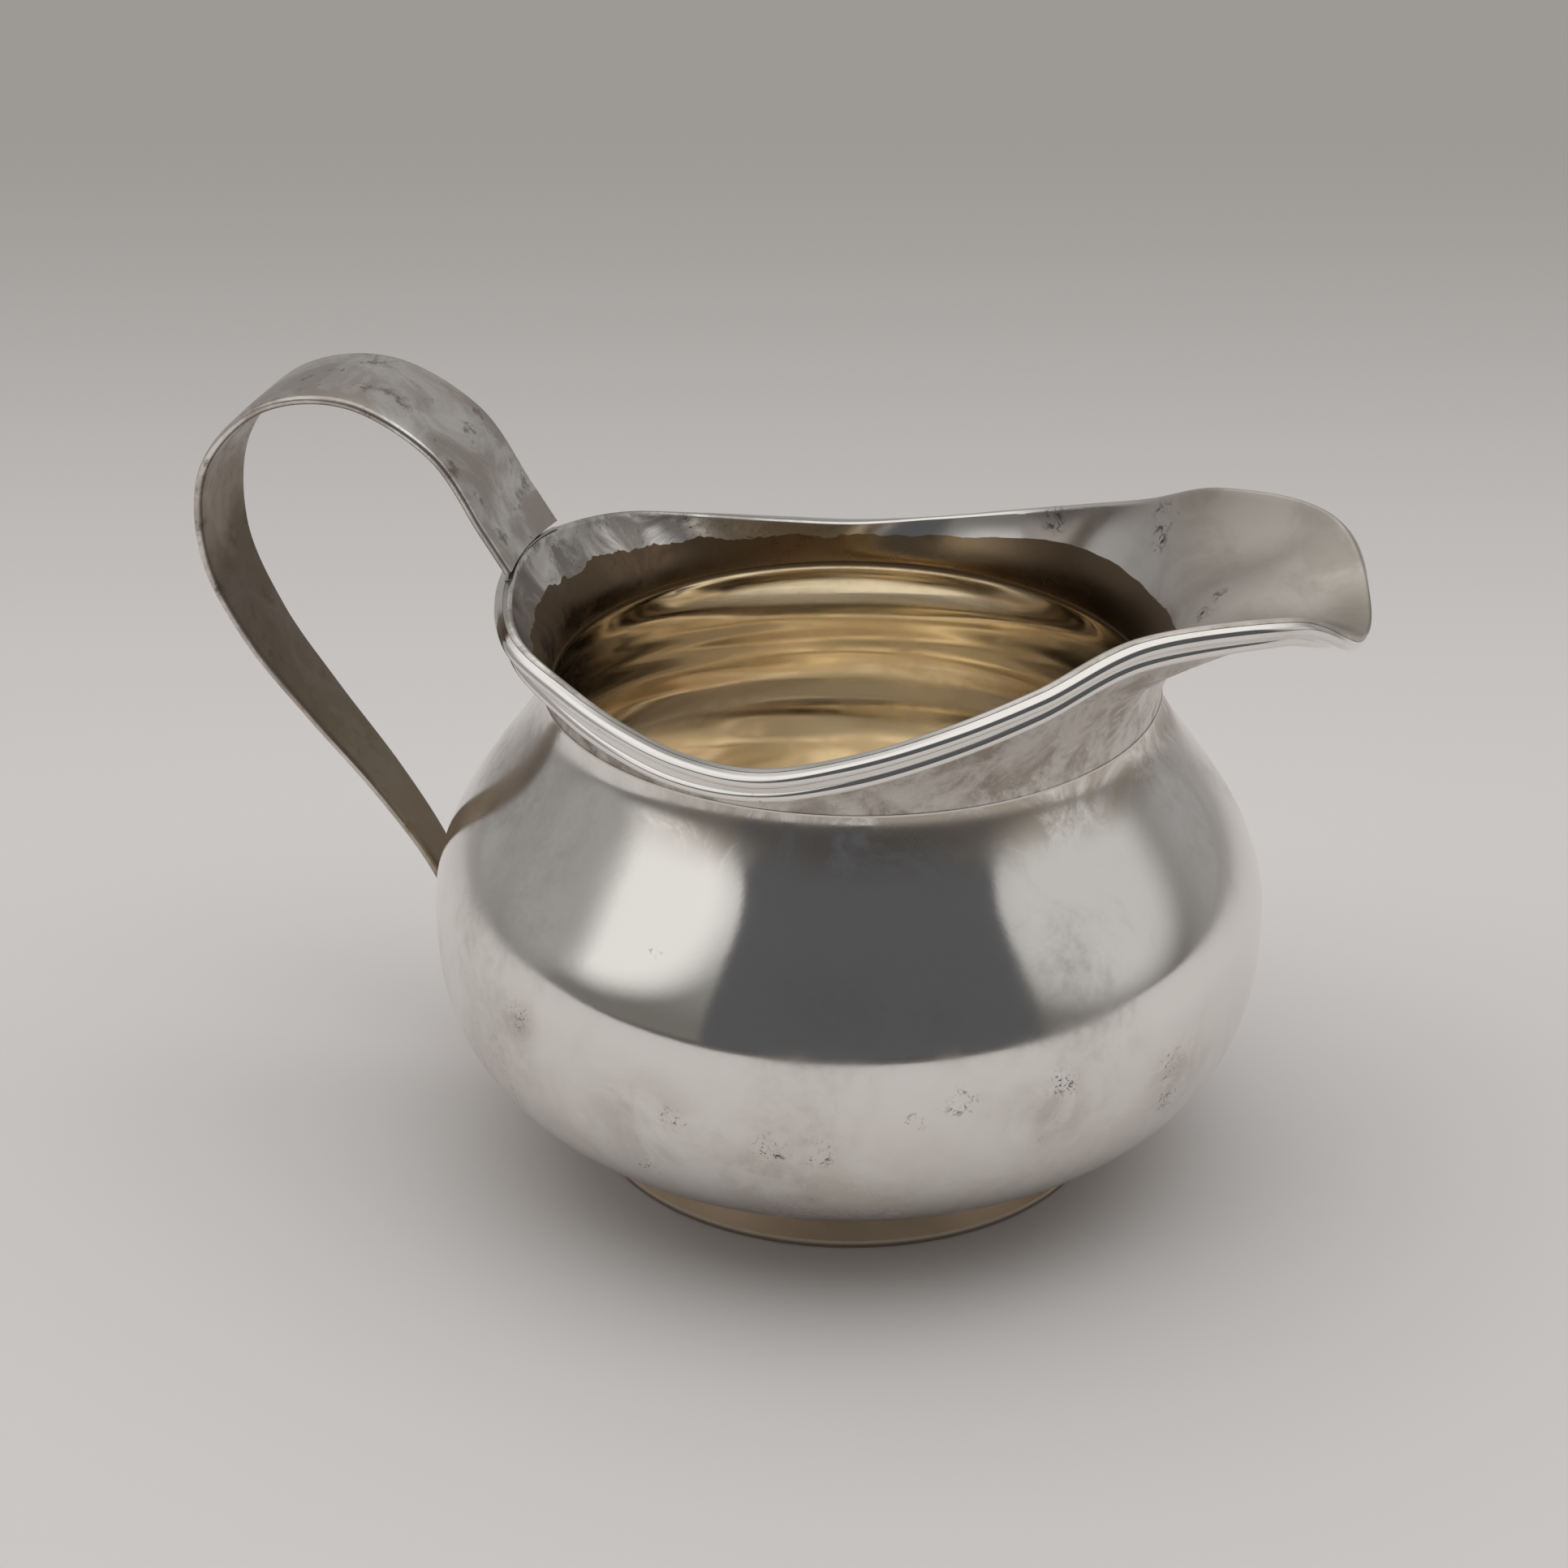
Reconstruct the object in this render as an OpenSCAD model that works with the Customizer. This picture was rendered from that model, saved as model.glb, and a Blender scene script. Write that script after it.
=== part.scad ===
// Squat bellied silver cream jug with a flared pouring lip, a strap handle and a low foot.
// Origin: centre of the foot, on the surface that the jug stands on. +Z up, +X towards the spout.

/* [Belly] */
// Outside diameter of the belly at its widest
belly_d = 80; // [70:1:90]
// Height of the widest line of the belly above the table
belly_h = 25.5; // [23.5:0.5:28]
// Depth of the rounded lower half, measured down from the widest line
belly_depth = 24.2; // [24:0.2:27]
// Height of the flat base of the belly above the table
base_h = 3; // [2.5:0.1:4]
// How far the belly runs straight up before the shoulder turns in
shoulder_rise = 9.3; // [7:0.1:12]
// Thickness of the silver sheet of the bowl and lip
wall = 0.8; // [0.6:0.1:1.2]
// Thickness of the gilt lining
gilt_t = 0.12; // [0.1:0.02:0.2]

/* [Neck and lip] */
// Outside diameter of the neck
neck_d = 58.7; // [52:0.1:64]
// Height of the seam between the bowl and the pouring lip
neck_h = 48; // [45:0.5:52]
// How far the neck runs straight down before it joins the shoulder
neck_drop = 5.2; // [4:0.1:8]
// How far the spout's edge reaches out past the neck
lip_reach = 19.4; // [14:0.1:23]
// How far the highest part of the lip stands above the neck seam
lip_rise = 17; // [15:0.1:19]
// Height of the moulding outside the lip's edge
rim_moulding_h = 3.1; // [2.6:0.1:3.3]
// Diameter of each of the two beads of the moulding
rim_bead_d = 1.3; // [1:0.1:1.4]

/* [Foot] */
// Outside diameter of the foot where it stands on the table
foot_d = 49.6; // [46:0.1:54]
// How far the top of the foot stands inside the edge of the flat base
foot_inset = 0.3; // [0.2:0.1:0.6]
// Thickness of the foot ring at its top
foot_t = 0.8; // [0.6:0.1:1.2]
// Height of the upright edge at the bottom of the foot
foot_edge = 0.8; // [0.5:0.1:1.2]
// Width of the face that the foot stands on
foot_face_w = 1.6; // [1.2:0.1:2]

/* [Handle] */
// Distance from the jug's axis to the back of the handle
handle_reach = 64.8; // [58:0.2:72]
// Height of the top of the handle above the table
handle_top = 72.9; // [70:0.1:80]
// Height of the lower end of the handle on the belly
handle_root_h = 14.7; // [13:0.1:18]
// Width of the strap where it passes the rim
handle_w = 13.6; // [10:0.2:15]
// Width of the strap at its lower end
handle_root_w = 3.4; // [3:0.2:6]
// Thickness of the strap
handle_t = 0.9; // [0.8:0.1:1.4]

/* [Hidden] */

// Clearance between curved pieces that lie against each other
seat_gap = 0.04;
// Thickness of the solder between the handle's two ends and the jug
film_t = 0.14;
// How far the solder shows past the strap's lower end
film_edge = 0.7;
// Height of the solder line between the bowl and the lip, and how far it stands proud
seam_t = 0.2;
seam_proud = 0.08;
// Leg of the solder fillet inside the foot
foot_solder_leg = 0.5;
// Length of the handle's lower end that lies flat against the belly
handle_root_len = 4;

belly_r = belly_d / 2;
neck_r = neck_d / 2;
foot_r = foot_d / 2;
lip_mid_r = neck_r - wall / 2;
bowl_top = neck_h - seam_t;
handle_back_r = handle_reach - handle_t / 2;
handle_top_h = handle_top - handle_t / 2;

// Squareness of the lower half of the belly: 2 is an ellipse
belly_power = 2.7;
belly_steps = 14;
shoulder_steps = 18;
foot_steps = 12;
lip_steps = 12;
// How much closer together the lip's steps stand at its edge
edge_power = 1.5;
round_steps = 96;
// How much closer together the lip's sections stand at the spout, in degrees
crowding = 20;
// Out and up shares of the rim, every 15 degrees from the spout round to the handle
rim_out_shares = [1, 0.82, 0.373, 0.19, 0.11, 0.078, 0.064, 0.002, -0.011, 0.037, 0.147, 0.166, 0.169];
rim_up_shares = [0.66, 0.995, 0.954, 0.716, 0.535, 0.382, 0.264, 0.228, 0.267, 0.341, 0.429, 0.5, 0.542];
// Shares that bend the lip between the neck seam and the rim, all round and at the spout
stand_share = 0.3;
spout_stand_share = 0.95;
turn_share = 0.6;
spout_turn_share = 0.8;
edge_share = 0.5;
spout_edge_share = -0.15;
spout_power = 60;
spout_stand_power = 12;
// Handle's line from the rim to the belly: shares of the way from a straight line between its two ends
// out to the handle's back and up to its top
handle_shares = [[0.053, 0.393], [0.19, 0.814], [0.452, 0.998], [0.75, 0.941], [0.965, 0.734], [0.987, 0.5],
    [0.844, 0.329], [0.619, 0.211], [0.369, 0.118], [0.156, 0.049]];
// How far the middle of each bead stands off the lip, as a share of the bead's radius
bead_seat_share = 0.7;
// Angle through which each bead turns in to the groove between them
groove_turn = 70;
bead_steps = 6;
seat_steps = 4;
// How late along its length the strap narrows
taper_power = 1.25;
// Crown of the strap's outer face, as a share of half its thickness
crown_share = 0.15;
path_steps = 5;
patch_steps = 8;

sheet_colour = "#c8c4bc";
gilt_colour = "#a98b4e";
foot_colour = "#b7a996";
solder_colour = "#d9d7d2";

// Cubic Bezier curve and its direction
function bez(a, b, c, d, t) = let(s = 1 - t)
    s * s * s * a + 3 * s * s * t * b + 3 * s * t * t * c + t * t * t * d;
function bez_dir(a, b, c, d, t) = let(s = 1 - t)
    s * s * (b - a) + 2 * s * t * (c - b) + t * t * (d - c);

// Smooth curve through four neighbouring values, t running from the second to the third
function through(a, b, c, d, t) =
    (2 * b + (c - a) * t + (2 * a - 5 * b + 4 * c - d) * t * t + (3 * b - a - 3 * c + d) * t * t * t) / 2;

// Value k of a row that repeats its neighbours past both ends
function held(row, k) = row[max(0, min(len(row) - 1, k))];
function along(row, t) = let(k = min(floor(t), len(row) - 2))
    through(held(row, k - 1), held(row, k), held(row, k + 1), held(row, k + 2), t - k);

// Value at an angle from the spout of a row that is mirrored about the jug's middle plane
function mirrored(row, k) = let(n = len(row) - 1, m = ((k % (2 * n)) + 2 * n) % (2 * n))
    row[m <= n ? m : 2 * n - m];
function round_row(row, a) = let(s = a / 180 * (len(row) - 1), k = floor(s))
    through(mirrored(row, k - 1), mirrored(row, k), mirrored(row, k + 1), mirrored(row, k + 2), s - k);

function unit(v) = v / norm(v);
function smooth(s) = s * s * (3 - 2 * s);

// Outline of the belly from the edge of its flat base up to the neck seam
base_turn = asin(pow((belly_h - base_h) / belly_depth, belly_power / 2));
function under(t) = [belly_r * pow(cos(t), 2 / belly_power), belly_h - belly_depth * pow(sin(t), 2 / belly_power)];
function shoulder(t) = bez([belly_r, belly_h], [belly_r, belly_h + shoulder_rise],
    [neck_r, bowl_top - neck_drop], [neck_r, bowl_top], t);
belly_line = concat(
    [for (i = [0 : belly_steps - 1]) under(base_turn * (1 - i / belly_steps))],
    [for (i = [0 : shoulder_steps]) shoulder(i / shoulder_steps)]);
last = len(belly_line) - 1;

// The same outline moved inwards by a thickness, square to the sheet
function belly_dir(i) = i == last ? [0, 1] : unit(belly_line[min(last, i + 1)] - belly_line[max(0, i - 1)]);
function inside(thick) = [for (i = [0 : last]) belly_line[i] + thick * [-belly_dir(i).y, belly_dir(i).x]];
bowl_inside = inside(wall);
gilt_inside = inside(wall + gilt_t);

// Outside radius of the belly at a height, read from its outline
function belly_r_at(z, i = 0) = i >= last || z <= belly_line[i + 1].y
    ? let(p = belly_line[min(i, last - 1)], q = belly_line[min(i, last - 1) + 1])
        p.x + (q.x - p.x) * (z - p.y) / (q.y - p.y)
    : belly_r_at(z, i + 1);

// Direction square to the belly at a height, pointing out
function belly_out_at(z) = let(d = unit([belly_r_at(z + foot_edge) - belly_r_at(z - foot_edge), 2 * foot_edge]))
    [d.y, -d.x];

// Angle from the spout of section k of the lip
function station(k) = 360 * k / round_steps - crowding * sin(360 * k / round_steps);

// Lip at angle a and share t of the way from the neck seam to the rim: [radius, height]
function rim_out(a) = neck_r + lip_reach * round_row(rim_out_shares, a);
function rim_up(a) = neck_h + lip_rise * round_row(rim_up_shares, a);
function spout_part(a, power) = pow(max(0, cos(a)), power);
function lip_posts(a) = let(r = rim_out(a), z = rim_up(a), h = z - neck_h,
    s = spout_part(a, spout_power), up = spout_part(a, spout_stand_power))
    [[lip_mid_r, neck_h], [lip_mid_r, neck_h + h * (stand_share + up * (spout_stand_share - stand_share))],
     [lip_mid_r + (r - lip_mid_r) * (turn_share + s * (spout_turn_share - turn_share)),
      z - h * (edge_share + s * (spout_edge_share - edge_share))],
     [r, z]];
function lip_mid(a, t) = let(p = lip_posts(a)) bez(p[0], p[1], p[2], p[3], t);
function lip_dir(a, t) = let(p = lip_posts(a)) unit(bez_dir(p[0], p[1], p[2], p[3], t));
function turned(rz, a) = [rz.x * cos(a), rz.x * sin(a), rz.y];

// Point of the lip, moved out square to the sheet and along it past the point
function lip_point(a, t, out, up = 0) = let(d = lip_dir(a, t))
    turned(lip_mid(a, t) + out * [d.y, -d.x] + up * d, a);

// Solid through a row of rings of points, closed into a loop or capped at both ends
module skin(rings, loop) {
    n = len(rings);
    m = len(rings[0]);
    sides = [for (i = [0 : n - (loop ? 1 : 2)], j = [0 : m - 1])
        let(k = (i + 1) % n, l = (j + 1) % m)
        each [[i * m + j, k * m + j, i * m + l], [i * m + l, k * m + j, k * m + l]]];
    e = (n - 1) * m;
    caps = loop ? [] : [for (j = [0 : m / 2 - 2]) let(k = m - 1 - j)
        each [[j, j + 1, k], [j + 1, k - 1, k], [e + k, e + j + 1, e + j], [e + k, e + k - 1, e + j + 1]]];
    polyhedron([for (ring = rings, p = ring) p], concat(sides, caps));
}

// Raised bowl with its flat base, belly, shoulder and neck
module bowl() {
    color(sheet_colour)
    rotate_extrude($fn = round_steps)
    polygon(concat([[0, base_h]], belly_line, [for (i = [last : -1 : 0]) bowl_inside[i]],
        [[0, bowl_inside[0].y]]));
}

// Gilding over the whole inside of the bowl
module gilt_lining() {
    color(gilt_colour)
    rotate_extrude($fn = round_steps)
    polygon(concat([[0, bowl_inside[0].y]], [for (i = [0 : last - 1]) bowl_inside[i]],
        [for (i = [last - 1 : -1 : 0]) gilt_inside[i]], [[0, gilt_inside[0].y]]));
}

// Line of solder between the bowl's neck and the pouring lip
module neck_solder() {
    color(solder_colour)
    rotate_extrude($fn = round_steps)
    translate([neck_r - wall, bowl_top])
    square([wall + seam_proud, seam_t]);
}

// Share of the way up the lip of its step i
function lip_step(i) = 1 - pow(1 - i / lip_steps, edge_power);

// Flared lip with its broad pouring spout
module pouring_lip() {
    color(sheet_colour)
    skin([for (k = [0 : round_steps - 1]) let(a = station(k))
        concat([for (i = [0 : lip_steps]) lip_point(a, lip_step(i), -wall / 2)],
            [for (i = [lip_steps : -1 : 0]) lip_point(a, lip_step(i), wall / 2)])], true);
}

// Share of the way up the lip that lies a distance down from its edge
function share_below(a, down, t = 1 / 2, n = 6) = down <= 0 ? 1 : n == 0 ? t
    : share_below(a, down, max(0, 1 - (1 - t) * down / norm(lip_mid(a, 1) - lip_mid(a, t))), n - 1);

// Cross-section of the rim's moulding: [out from the middle of the lip's sheet, down from its edge]
bead_r = rim_bead_d / 2;
moulding_seat = wall / 2 + seat_gap;
bead_out = moulding_seat + bead_r * bead_seat_share;
bead_turn = 180 - acos(bead_seat_share);
function bead(down, from, to) = [for (j = [0 : bead_steps]) let(s = from + (to - from) * j / bead_steps)
    [bead_out + bead_r * cos(s), down - bead_r * sin(s)]];
upper_bead = bead(bead_r, bead_turn, -groove_turn);
lower_bead = bead(rim_moulding_h - bead_r, groove_turn, -bead_turn);
seat_top = upper_bead[0].y;
seat_low = lower_bead[bead_steps].y;
moulding_section = concat(upper_bead, lower_bead,
    [for (j = [1 : seat_steps - 1]) [moulding_seat, seat_low + (seat_top - seat_low) * j / seat_steps]]);

// Moulding of two rounded beads on the outside of the lip's edge
module rim_wire() {
    color(sheet_colour)
    skin([for (k = [0 : round_steps - 1]) let(a = station(k))
        [for (q = moulding_section) lip_point(a, share_below(a, q.y), q.x)]], true);
}

// Spreading ring that the jug stands on
foot_top_r = belly_line[0].x - foot_inset;
foot_in_r = foot_top_r - foot_t;
foot_face_r = foot_r - foot_face_w;
module foot_ring() {
    color(foot_colour)
    rotate_extrude($fn = round_steps)
    polygon(concat([[foot_face_r, 0], [foot_r, 0]],
        [for (i = [0 : foot_steps]) let(s = i / foot_steps)
            [foot_r + (foot_top_r - foot_r) * sin(90 * s), foot_edge + (base_h - foot_edge) * (1 - cos(90 * s))]],
        [[foot_in_r, base_h]]));
}

// Fillet of solder in the corner between the base and the foot ring
module foot_solder() {
    color(solder_colour)
    rotate_extrude($fn = round_steps)
    polygon([[foot_in_r, base_h], [foot_in_r - foot_solder_leg, base_h],
        [foot_in_r + (foot_face_r - foot_in_r) * foot_solder_leg / base_h, base_h - foot_solder_leg]]);
}

// Middle line of the strap, [distance from the axis, height], from the rim to the lower end
strap_up = film_t + 2 * seat_gap;
root_off = strap_up + handle_t / 2;
function root_at(z) = [belly_r_at(z), z] + root_off * belly_out_at(z);
rim_back = lip_mid(180, 1) + strap_up * lip_dir(180, 1);
root_top = root_at(handle_root_h + handle_root_len);
function strap_post(k) = let(s = handle_shares[k - 1],
    base = rim_back + (root_top - rim_back) * k / (len(handle_shares) + 1))
    base + [s[0] * (handle_back_r - base.x), s[1] * (handle_top_h - base.y)];
handle_posts = concat([rim_back], [for (k = [1 : len(handle_shares)]) strap_post(k)],
    [for (s = [1, 1 / 2, 0]) root_at(handle_root_h + handle_root_len * s)]);
handle_spans = len(handle_posts) - 1;
handle_line = [for (i = [1 : handle_spans * path_steps]) along(handle_posts, i / path_steps)];
handle_last = len(handle_line) - 1;

// Cross-section of the strap at half width h: [across, outwards], round at both edges
edge_steps = 4;
function strap_section(h) = let(r = handle_t / 2) concat(
    [for (i = [0 : edge_steps]) let(a = -90 + 180 * i / edge_steps) [h - r + r * cos(a), r * sin(a)]],
    [[0, r]],
    [for (i = [0 : edge_steps]) let(a = 90 + 180 * i / edge_steps) [r - h + r * cos(a), r * sin(a)]],
    [[0, -r * (1 + crown_share)]]);
function strap_half(s) = (handle_w + (handle_root_w - handle_w) * smooth(pow(s, taper_power))) / 2;

// The strap leaves the rim as round as the lip and is flat from hollow_share of its length onwards
hollow_share = 0.2;
bow_r = lip_mid(180, 1).x;
function bow(y) = bow_r - sqrt(bow_r * bow_r - y * y);
function strap_ring(i) = let(p = handle_line[i], s = (i + 1) / (handle_last + 1),
    d = unit(handle_line[min(handle_last, i + 1)] - handle_line[max(0, i - 1)]), n = [d.y, -d.x])
    [for (q = strap_section(strap_half(s))) let(at = p + q[1] * n)
        [max(0, 1 - s / hollow_share) * bow(q[0]) - at.x, q[0], at.y]];

// The strap's upper end stands on the lip's edge, in line with its sheet
function edge_angle(y) = 180 - asin(y / bow_r);
foot_of_strap = [for (q = strap_section(handle_w / 2)) lip_point(edge_angle(q[0]), 1, q[1], strap_up)];

// Flat strap from the lip's edge, up over the rim and down to the belly
module handle() {
    color(sheet_colour)
    skin(concat([foot_of_strap], [for (i = [0 : handle_last]) strap_ring(i)]), false);
}

// Solder between the strap's upper end and the lip's edge
module handle_top_solder() {
    color(solder_colour)
    skin([for (j = [0 : patch_steps]) let(a = edge_angle(handle_w * (j / patch_steps - 1 / 2)))
        [for (c = [[-1, 0], [1, 0], [1, 1], [-1, 1]]) lip_point(a, 1, c[0] * wall / 2, seat_gap + c[1] * film_t)]],
        false);
}

// Film of solder between the strap's lower end and the belly
module handle_root_solder() {
    half = handle_root_w / 2 + film_edge;
    low = handle_root_h - film_edge;
    high = handle_root_h + handle_root_len;
    color(solder_colour)
    skin([for (i = [0 : patch_steps]) let(z = low + (high - low) * i / patch_steps, n = belly_out_at(z),
            near = [belly_r_at(z), z] + seat_gap * n)
        [for (j = [0 : 2 * patch_steps + 1])
            let(k = j <= patch_steps ? j : 2 * patch_steps + 1 - j, y = half * (2 * k / patch_steps - 1),
                a = 180 - asin(y / near.x))
            turned(near + (j <= patch_steps ? 0 : film_t) * n, a)]], false);
}

bowl();
gilt_lining();
neck_solder();
pouring_lip();
rim_wire();
foot_ring();
foot_solder();
handle();
handle_top_solder();
handle_root_solder();
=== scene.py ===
# Looks for the silver cream jug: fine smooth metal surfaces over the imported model, a studio and the camera.
# Shape sizes are in millimetres and repeat those of the part's source. The origin is the centre of the foot
# on the table, +Z is up and +X runs towards the spout.
import math

import bpy
from mathutils import Matrix, Vector, noise


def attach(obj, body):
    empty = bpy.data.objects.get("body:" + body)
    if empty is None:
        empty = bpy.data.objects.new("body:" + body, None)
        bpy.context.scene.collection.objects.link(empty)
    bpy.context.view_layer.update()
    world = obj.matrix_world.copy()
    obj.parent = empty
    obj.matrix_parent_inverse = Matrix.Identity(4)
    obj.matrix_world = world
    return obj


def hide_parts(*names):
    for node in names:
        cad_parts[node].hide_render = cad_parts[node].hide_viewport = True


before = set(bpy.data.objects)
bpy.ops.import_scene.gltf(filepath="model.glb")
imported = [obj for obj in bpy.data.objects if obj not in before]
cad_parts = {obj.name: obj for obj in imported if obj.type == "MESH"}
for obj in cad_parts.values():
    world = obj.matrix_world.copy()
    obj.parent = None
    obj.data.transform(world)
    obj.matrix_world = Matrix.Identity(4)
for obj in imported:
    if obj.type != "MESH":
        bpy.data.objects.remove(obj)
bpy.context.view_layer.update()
MM = 0.001

# Camera
CAM_AZIMUTH, CAM_ELEVATION, CAM_ROLL = 16.35, 26.0, 0.43
CAM_DISTANCE, CAM_SIDE, CAM_HEIGHT = 421.1, -6.36, 36.77
FRAME_PX, FOCAL_PX, SENSOR = 1932, 5400, 36


def place_camera():
    """Camera at the photograph's angle; distances are in millimetres."""
    a, e, r = (math.radians(v) for v in (CAM_AZIMUTH, CAM_ELEVATION, CAM_ROLL))
    back = Vector((math.sin(a) * math.cos(e), -math.cos(a) * math.cos(e), math.sin(e)))
    target = Vector((CAM_SIDE * math.cos(a), CAM_SIDE * math.sin(a), CAM_HEIGHT))
    right = (-back).cross(Vector((0, 0, 1))).normalized()
    up = right.cross(-back)
    x = right * math.cos(r) + up * math.sin(r)
    y = up * math.cos(r) - right * math.sin(r)
    camera = bpy.data.objects.new("camera", bpy.data.cameras.new("camera"))
    bpy.context.scene.collection.objects.link(camera)
    spot = (target + CAM_DISTANCE * back) * MM
    camera.matrix_world = Matrix.Translation(spot) @ Matrix((x, y, back)).transposed().to_4x4()
    camera.data.sensor_width = SENSOR
    camera.data.lens = SENSOR * FOCAL_PX / FRAME_PX
    camera.data.clip_start = 0.01
    camera.data.clip_end = 50
    bpy.context.scene.camera = camera


# Shape of the jug
BELLY_R, BELLY_H, BELLY_DEPTH, BELLY_POWER = 40, 25.5, 24.2, 2.7
BASE_H, SHOULDER_RISE, WALL, GILT_T = 3, 9.3, 0.8, 0.12
NECK_R, NECK_H, NECK_DROP, SEAM_T = 29.35, 48, 5.2, 0.2
LIP_REACH, LIP_RISE = 19.4, 17
MOULDING_H, BEAD_R, BEAD_SEAT, EDGE_TURN, GROOVE_TURN = 3.1, 0.65, 0.7, 95, 70
FOOT_R, FOOT_INSET, FOOT_T, FOOT_EDGE, FOOT_FACE_W = 24.8, 0.3, 0.8, 0.8, 1.6
HANDLE_REACH, HANDLE_TOP, ROOT_H, ROOT_LEN = 64.8, 72.9, 14.7, 4
HANDLE_W, ROOT_W, HANDLE_T = 13.6, 3.4, 0.9
SEAT_GAP, FILM_T, SLOPE_STEP = 0.04, 0.14, 0.8
RIM_OUT = [1, 0.82, 0.373, 0.19, 0.11, 0.078, 0.064, 0.002, -0.011, 0.037, 0.147, 0.166, 0.169]
RIM_UP = [0.66, 0.995, 0.954, 0.716, 0.535, 0.382, 0.264, 0.228, 0.267, 0.341, 0.429, 0.5, 0.542]
STAND, SPOUT_STAND, TURN, SPOUT_TURN, EDGE, SPOUT_EDGE = 0.3, 0.95, 0.6, 0.8, 0.5, -0.15
SPOUT_POWER, SPOUT_STAND_POWER = 60, 12
HANDLE_LINE = [(0.053, 0.393), (0.19, 0.814), (0.452, 0.998), (0.75, 0.941), (0.965, 0.734), (0.987, 0.5),
               (0.844, 0.329), (0.619, 0.211), (0.369, 0.118), (0.156, 0.049)]
TAPER_POWER, CROWN, HOLLOW = 1.25, 0.15, 0.2
LIP_MID_R = NECK_R - WALL / 2
BOWL_TOP = NECK_H - SEAM_T
# Height above the neck seam of the gilding's upper edge, every 30 degrees from the spout to the handle
GILT_UP = [7.2, 5.3, 5.1, 2.6, 2.9, 4, 4.9]

# Fineness and finish of the skins: steps round the jug, the radius at which a skin closes on the axis,
# how far the beads' skins lie inside their solids, and the rounding of the foot's worn edge
BOWL_STEPS, LIP_STEPS, FOOT_STEPS = 288, 420, 240
AXIS_R, BEAD_SKIN, FOOT_WORN = 0.01, 0.03, 0.25
# Ripples in the gilt wall: depth, the most that one stands back, and the steps of their fading at the top
RIPPLE_DEPTH, RIPPLE_BACK, RIPPLE_FADE = 0.09, 0.06, 6


def bez(a, b, c, d, t):
    """Point at a share t of the way along a curve with four posts."""
    s = 1 - t
    return s * s * s * a + 3 * s * s * t * b + 3 * s * t * t * c + t * t * t * d


def bez_dir(a, b, c, d, t):
    s = 1 - t
    return (s * s * (b - a) + 2 * s * t * (c - b) + t * t * (d - c)).normalized()


def through(a, b, c, d, t):
    """Value between b and c of a smooth curve through all four."""
    return (2 * b + (c - a) * t + (2 * a - 5 * b + 4 * c - d) * t * t + (3 * b - a - 3 * c + d) * t ** 3) / 2


def along(row, t):
    k = min(int(t), len(row) - 2)
    p = [row[max(0, min(len(row) - 1, k + i))] for i in (-1, 0, 1, 2)]
    return through(*p, t - k)


def round_row(row, angle):
    """Smooth value at an angle, of a row from the spout to the handle that both sides share."""
    n = len(row) - 1
    s = angle / 180 * n
    k = math.floor(s)
    p = [row[m if m <= n else 2 * n - m] for m in ((k + i) % (2 * n) for i in (-1, 0, 1, 2))]
    return through(*p, s - k)


def outward(d):
    return Vector((d.y, -d.x))


def turned(rz, angle):
    a = math.radians(angle)
    return Vector((rz.x * math.cos(a), rz.x * math.sin(a), rz.y))


def belly_point(t):
    x = BELLY_R * max(0, math.cos(t)) ** (2 / BELLY_POWER)
    return Vector((x, BELLY_H - BELLY_DEPTH * math.sin(t) ** (2 / BELLY_POWER)))


def belly_line(under_steps=44, shoulder_steps=60):
    """Outline of the bowl from the edge of its flat base up to the neck seam."""
    turn = math.asin(((BELLY_H - BASE_H) / BELLY_DEPTH) ** (BELLY_POWER / 2))
    under = [belly_point(turn * (1 - i / under_steps)) for i in range(under_steps)]
    posts = [Vector(p) for p in ((BELLY_R, BELLY_H), (BELLY_R, BELLY_H + SHOULDER_RISE),
                                 (NECK_R, BOWL_TOP - NECK_DROP), (NECK_R, BOWL_TOP))]
    return under + [bez(*posts, i / shoulder_steps) for i in range(shoulder_steps + 1)]


def inside(line, thick):
    """The line moved inwards by a thickness; its last point moves level."""
    last = len(line) - 1
    moved = []
    for i, p in enumerate(line):
        d = Vector((0, 1)) if i == last else (line[min(last, i + 1)] - line[max(0, i - 1)]).normalized()
        moved.append(p - thick * outward(d))
    return moved


def lip_posts(angle):
    """Posts of the middle line of the lip's sheet at an angle from the spout, from the seam to the edge."""
    r = NECK_R + LIP_REACH * round_row(RIM_OUT, angle)
    z = NECK_H + LIP_RISE * round_row(RIM_UP, angle)
    h = z - NECK_H
    s, up = (max(0, math.cos(math.radians(angle))) ** power for power in (SPOUT_POWER, SPOUT_STAND_POWER))
    stand = STAND + up * (SPOUT_STAND - STAND)
    turn = TURN + s * (SPOUT_TURN - TURN)
    edge = EDGE + s * (SPOUT_EDGE - EDGE)
    return [Vector(p) for p in ((LIP_MID_R, NECK_H), (LIP_MID_R, NECK_H + h * stand),
                                (LIP_MID_R + (r - LIP_MID_R) * turn, z - h * edge), (r, z))]


def lip_point(angle, t, out, up=0):
    """Point at a share t of the way up the lip, moved outwards off the sheet and up along it."""
    posts = lip_posts(angle)
    d = bez_dir(*posts, t)
    return turned(bez(*posts, t) + out * outward(d) + up * d, angle)


def belly_r_at(z, line=belly_line()):
    for p, q in zip(line, line[1:]):
        if z <= q.y:
            return p.x + (q.x - p.x) * (z - p.y) / (q.y - p.y)
    return line[-1].x


def belly_out_at(z):
    rise = Vector((belly_r_at(z + SLOPE_STEP) - belly_r_at(z - SLOPE_STEP), 2 * SLOPE_STEP))
    return outward(rise.normalized())


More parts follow.
